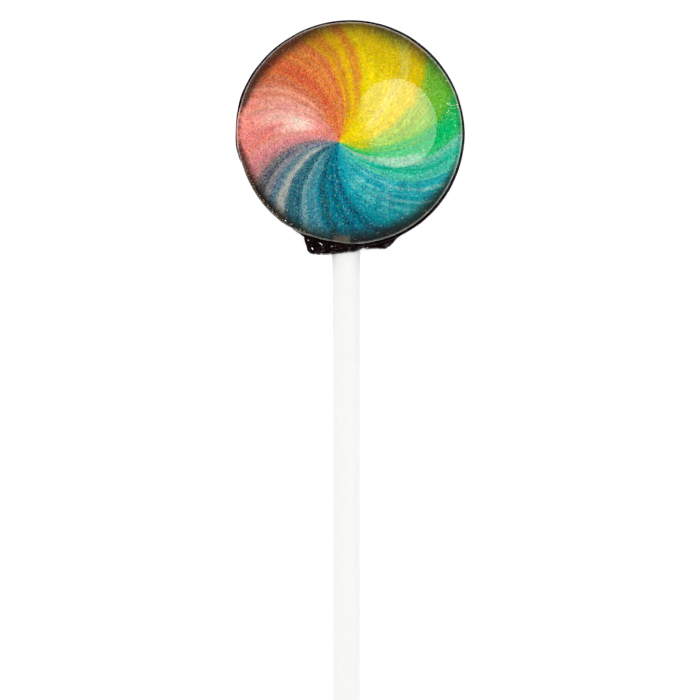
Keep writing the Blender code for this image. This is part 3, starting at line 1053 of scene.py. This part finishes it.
class LOLLIPOP_OT_stage(Operator):
    """Pale floor, soft lights and the camera that looks down on the lollipop"""

    bl_idname = "lollipop.stage"
    bl_label = "Stage"

    def execute(self, context):
        floor = start_from(bpy.ops.mesh.primitive_plane_add, size=6.0,
                           location=(0, 0, -0.02 * MM))
        floor.name = "pale_floor"
        floor.data.materials.append(floor_material())
        window = add_light("window_light", (0.365, 0.109, 0.925), distance=0.60,
                           size=(0.449, 0.416), radiance=1.0, unseen=("diffuse", "transmission"))
        shape_window(window)
        add_light("glint_light", (-0.50, -0.66, 0.56), distance=0.60, size=(0.04, 0.04),
                  radiance=90.0, unseen=("diffuse", "transmission"))
        above = (0.0, 0.0, 1.0)
        add_light("fill_light", above, distance=1.5, size=(3.0, 3.0), radiance=1.9,
                  unseen=("glossy",))
        add_light("candy_light", above, distance=1.4, size=(2.6, 2.6), radiance=1.5,
                  unseen=("glossy", "diffuse"))
        for side in (-1, 1):
            add_light("side_light", (side, 0.0, 0.35), distance=0.8, size=(0.6, 0.6),
                      radiance=1.45, unseen=("glossy", "transmission"))
        set_world()
        add_camera(context)
        context.scene.view_settings.view_transform = 'Standard'
        context.scene.view_settings.look = 'None'
        return {'FINISHED'}


def add_light(name, direction, distance, size, radiance, unseen):
    """An oval area light that shines on the head from one direction; some rays don't see it."""
    direction = Vector(direction)
    head = Vector((7.5 * MM, 1.4 * MM, DOME_HIGH.z))
    lamp = bpy.data.lights.new(name, 'AREA')
    lamp.shape = 'ELLIPSE'
    lamp.size, lamp.size_y = size
    oval = math.pi / 4 * size[0] * size[1]
    lamp.energy = radiance * oval * math.pi
    thing = bpy.data.objects.new(name, lamp)
    thing.location = head + direction.normalized() * distance
    thing.rotation_euler = direction.to_track_quat('Z', 'Y').to_euler()
    for ray in ("camera", *unseen):
        setattr(thing, "visible_" + ray, False)
    bpy.context.scene.collection.objects.link(thing)
    return lamp


def shape_window(lamp):
    """Makes the window brighter on one side, with a soft edge on the other."""
    lamp.use_nodes = True
    tree = Tree(lamp.node_tree)
    across = tree.separate(tree.node("ShaderNodeNewGeometry").outputs["Parametric"])[1]
    soft = tree.between(across, 1.0, 0.76)
    level = tree.between(across, 0.8, 0.1, 2.4, 3.5)
    tree.set(lamp.node_tree.nodes["Emission"], Strength=tree.times(soft, level))


def set_world():
    """A dim sky that lights the lollipop evenly."""
    world = bpy.data.worlds.new("studio")
    world.use_nodes = True
    tree = Tree(world.node_tree)
    up = tree.separate(tree.node("ShaderNodeTexCoord").outputs["Generated"])[2]
    tree.set(world.node_tree.nodes["Background"], Color=WHITE,
             Strength=tree.between(up, 0.2, 0.8, 0.22, 0.06))
    bpy.context.scene.world = world


def add_camera(context):
    """A long lens straight above, framed as the photo is."""
    distance = 1.0
    width = FRAME_PIXELS / PIXELS_PER_METRE
    data = bpy.data.cameras.new("camera")
    camera = bpy.data.objects.new("camera", data)
    x = (FRAME_PIXELS / 2 - DISC_CENTRE_PIXEL[0]) / PIXELS_PER_METRE
    y = (DISC_CENTRE_PIXEL[1] - FRAME_PIXELS / 2) / PIXELS_PER_METRE
    camera.location = (x, y, distance)
    data.lens = data.sensor_width * (distance - BACK_TOP) / width
    data.clip_start = 0.01
    context.scene.collection.objects.link(camera)
    context.scene.camera = camera


OPERATORS = (LOLLIPOP_OT_sheet, LOLLIPOP_OT_back, LOLLIPOP_OT_dome, LOLLIPOP_OT_specks,
             LOLLIPOP_OT_stick, LOLLIPOP_OT_stage)


class LOLLIPOP_PT_panel(Panel):
    """Lists the sizes, the colours and the pieces"""

    bl_idname = "LOLLIPOP_PT_panel"
    bl_label = "Swirl lollipop"
    bl_space_type = 'VIEW_3D'
    bl_region_type = 'UI'
    bl_category = "Lollipop"

    def draw(self, context):
        column = self.layout.column()
        for settings in (context.scene.lollipop_sizes, context.scene.lollipop_colours):
            for name in settings.__annotations__:
                column.prop(settings, name)
        for operator in OPERATORS:
            column.operator(operator.bl_idname)


CLASSES = (LollipopSizes, LollipopColours, *OPERATORS, LOLLIPOP_PT_panel)


def register():
    for cls in CLASSES:
        bpy.utils.register_class(cls)
    bpy.types.Scene.lollipop_sizes = PointerProperty(type=LollipopSizes)
    bpy.types.Scene.lollipop_colours = PointerProperty(type=LollipopColours)


def unregister():
    del bpy.types.Scene.lollipop_colours
    del bpy.types.Scene.lollipop_sizes
    for cls in reversed(CLASSES):
        bpy.utils.unregister_class(cls)


def main():
    register()
    bpy.ops.lollipop.sheet()
    bpy.ops.lollipop.back()
    bpy.ops.lollipop.dome()
    bpy.ops.lollipop.specks()
    bpy.ops.lollipop.stick()
    bpy.ops.lollipop.stage()


if __name__ == "__main__":
    main()
